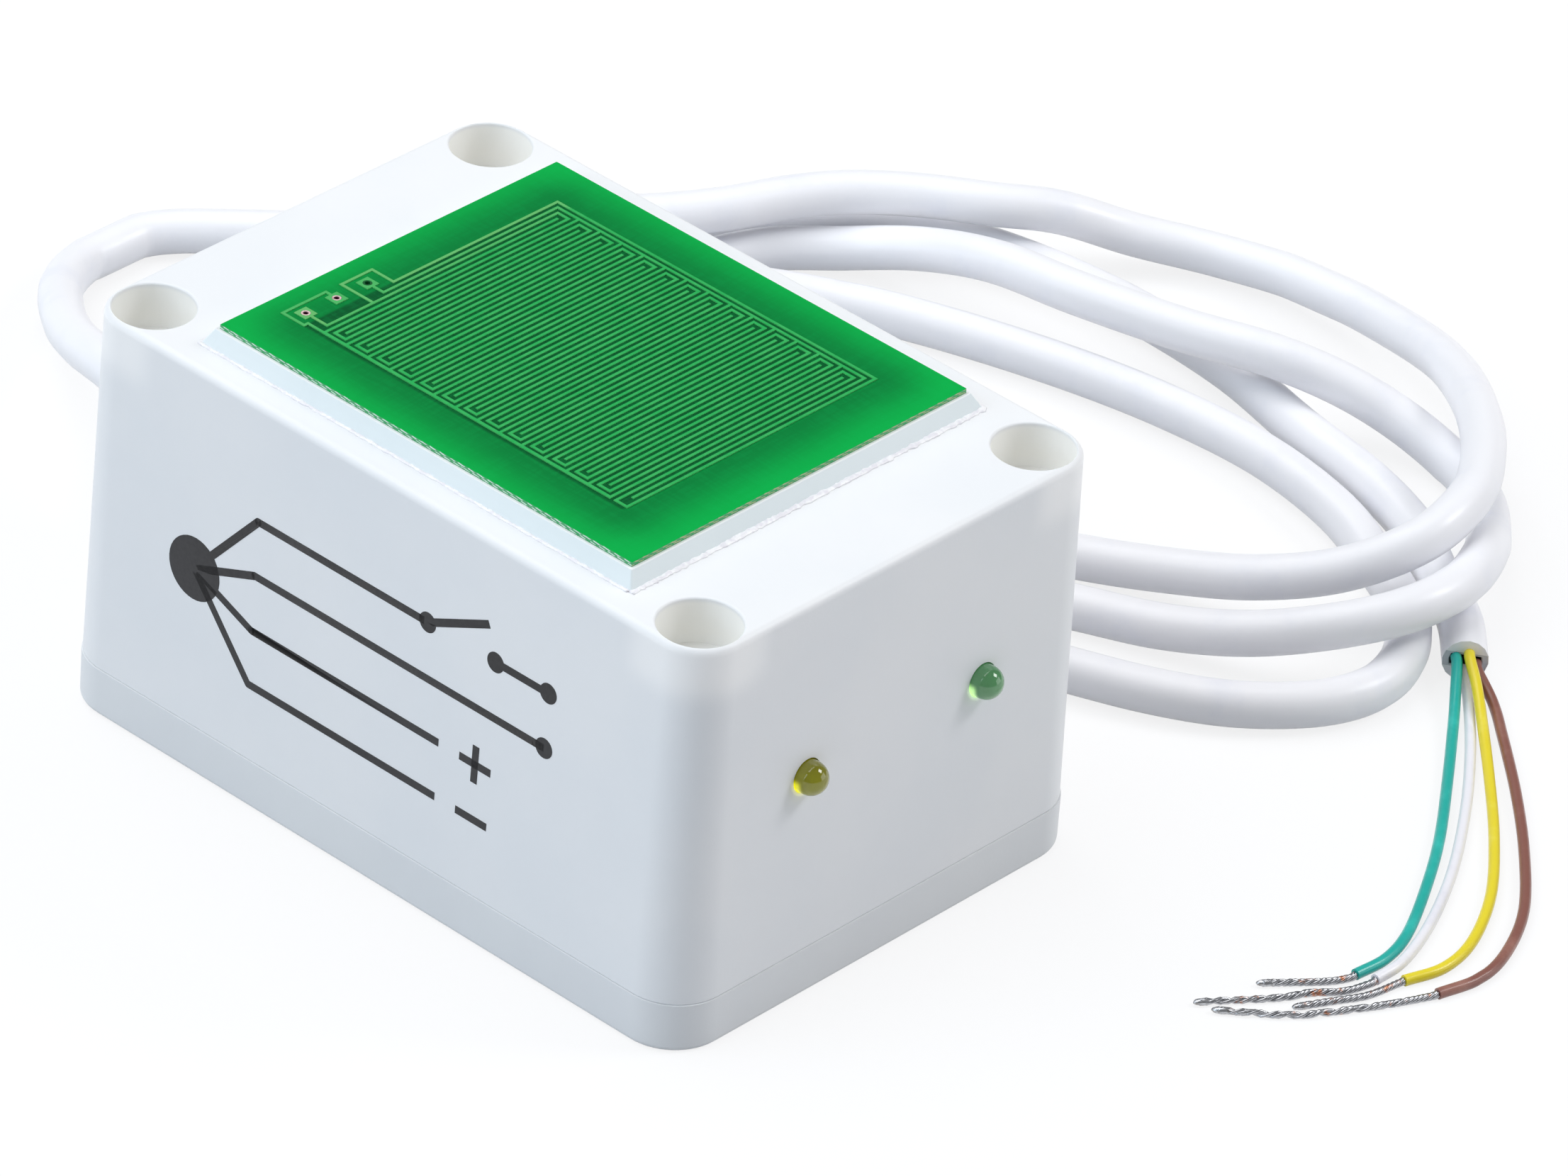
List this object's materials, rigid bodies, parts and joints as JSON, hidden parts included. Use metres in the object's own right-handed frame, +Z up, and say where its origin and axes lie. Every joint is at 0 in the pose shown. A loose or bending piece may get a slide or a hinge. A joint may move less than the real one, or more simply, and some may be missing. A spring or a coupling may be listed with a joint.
{
  "type": "rain sensor",
  "caption": "Rain sensor: a green comb-patterned sensing board on a small white screw-down box, with signal lamps in one end and a thin multi-core cable lying in loose loops beside it.",
  "frame": {"origin": "middle of the case's underside, on the surface it is fixed to", "axes": "+Z up out of the fixing surface, X along the long side with the lamps looking along +X, cable leaving along -X, Y along the short side with the cable's loops on the +Y side"},
  "size_m": [0.1583, 0.1304, 0.041],
  "materials": {
    "case_white": "fine satin texture, slightly glossy",
    "seal_rubber": "matte",
    "screw_steel": "plain zinc plated",
    "adhesive": "cured clear-grey adhesive, glossy and lumpy",
    "solder_mask": "green solder mask over fibre laminate",
    "masked_trace": "tinned copper under green mask",
    "plated_hole": "copper plated, thinly tinned",
    "tinned_wire": "tinned copper",
    "lamp_yellow": "tinted clear epoxy",
    "lamp_green": "tinted clear epoxy",
    "circuit_mask": "dark green solder mask",
    "black_plastic": "moulded epoxy, matte",
    "bobbin_plastic": "natural polyester",
    "magnet_wire": "enamelled copper wire",
    "soft_iron": "plated soft iron",
    "contact_bronze": "bronze leaf with silver contacts",
    "relay_blue": "moulded cover",
    "can_sleeve": "heat shrunk sleeve",
    "resistor_coat": "lacquered",
    "cable_white": "smooth soft PVC",
    "core_green": "smooth PVC",
    "core_white": "smooth PVC",
    "core_yellow": "smooth PVC",
    "core_brown": "smooth PVC"
  },
  "bodies": {
    "case": {"housing": "case_white", "base_plate": "case_white", "base_seal": "seal_rubber", "base_screws": "screw_steel", "sensor_plinth": "case_white", "plinth_adhesive": "adhesive", "sensor_board": "solder_mask", "electrode_comb_a": "masked_trace", "electrode_comb_b": "masked_trace", "guard_trace": "masked_trace", "sensor_vias": "plated_hole", "sensor_leads": "tinned_wire", "led_yellow": "lamp_yellow", "led_green": "lamp_green", "led_leads": "tinned_wire", "main_board": "circuit_mask", "board_screws": "screw_steel", "relay_base": "black_plastic", "relay_bobbin": "bobbin_plastic", "relay_winding": "magnet_wire", "relay_core": "soft_iron", "relay_yoke": "soft_iron", "relay_fixed_contacts": "contact_bronze", "relay_cover": "relay_blue", "comparator_ic": "black_plastic", "voltage_regulator": "black_plastic", "driver_transistor": "black_plastic", "flyback_diode": "black_plastic", "filter_capacitor": "can_sleeve", "resistors": "resistor_coat", "cable_grommet": "cable_white", "cable_tie": "bobbin_plastic", "cable_tail": "cable_white", "inner_wire_green": "core_green", "inner_wire_white": "core_white", "inner_wire_yellow": "core_yellow", "inner_wire_brown": "core_brown", "cable": "cable_white", "wire_green": "core_green", "wire_white": "core_white", "wire_yellow": "core_yellow", "wire_brown": "core_brown", "end_green": "tinned_wire", "end_white": "tinned_wire", "end_yellow": "tinned_wire", "end_brown": "tinned_wire"},
    "armature": {"relay_armature": "soft_iron", "relay_contact_spring": "contact_bronze"}
  },
  "joints": [
    {"name": "armature_hinge", "type": "hinge", "parent": "case", "child": "armature", "pos_m": [-0.00445, -0.00952, 0.02235], "axis": [0, 1, 0], "range_deg": [0, 4], "stiffness_Nm_per_rad": 0.001, "springref_deg": -5.73}
  ]
}
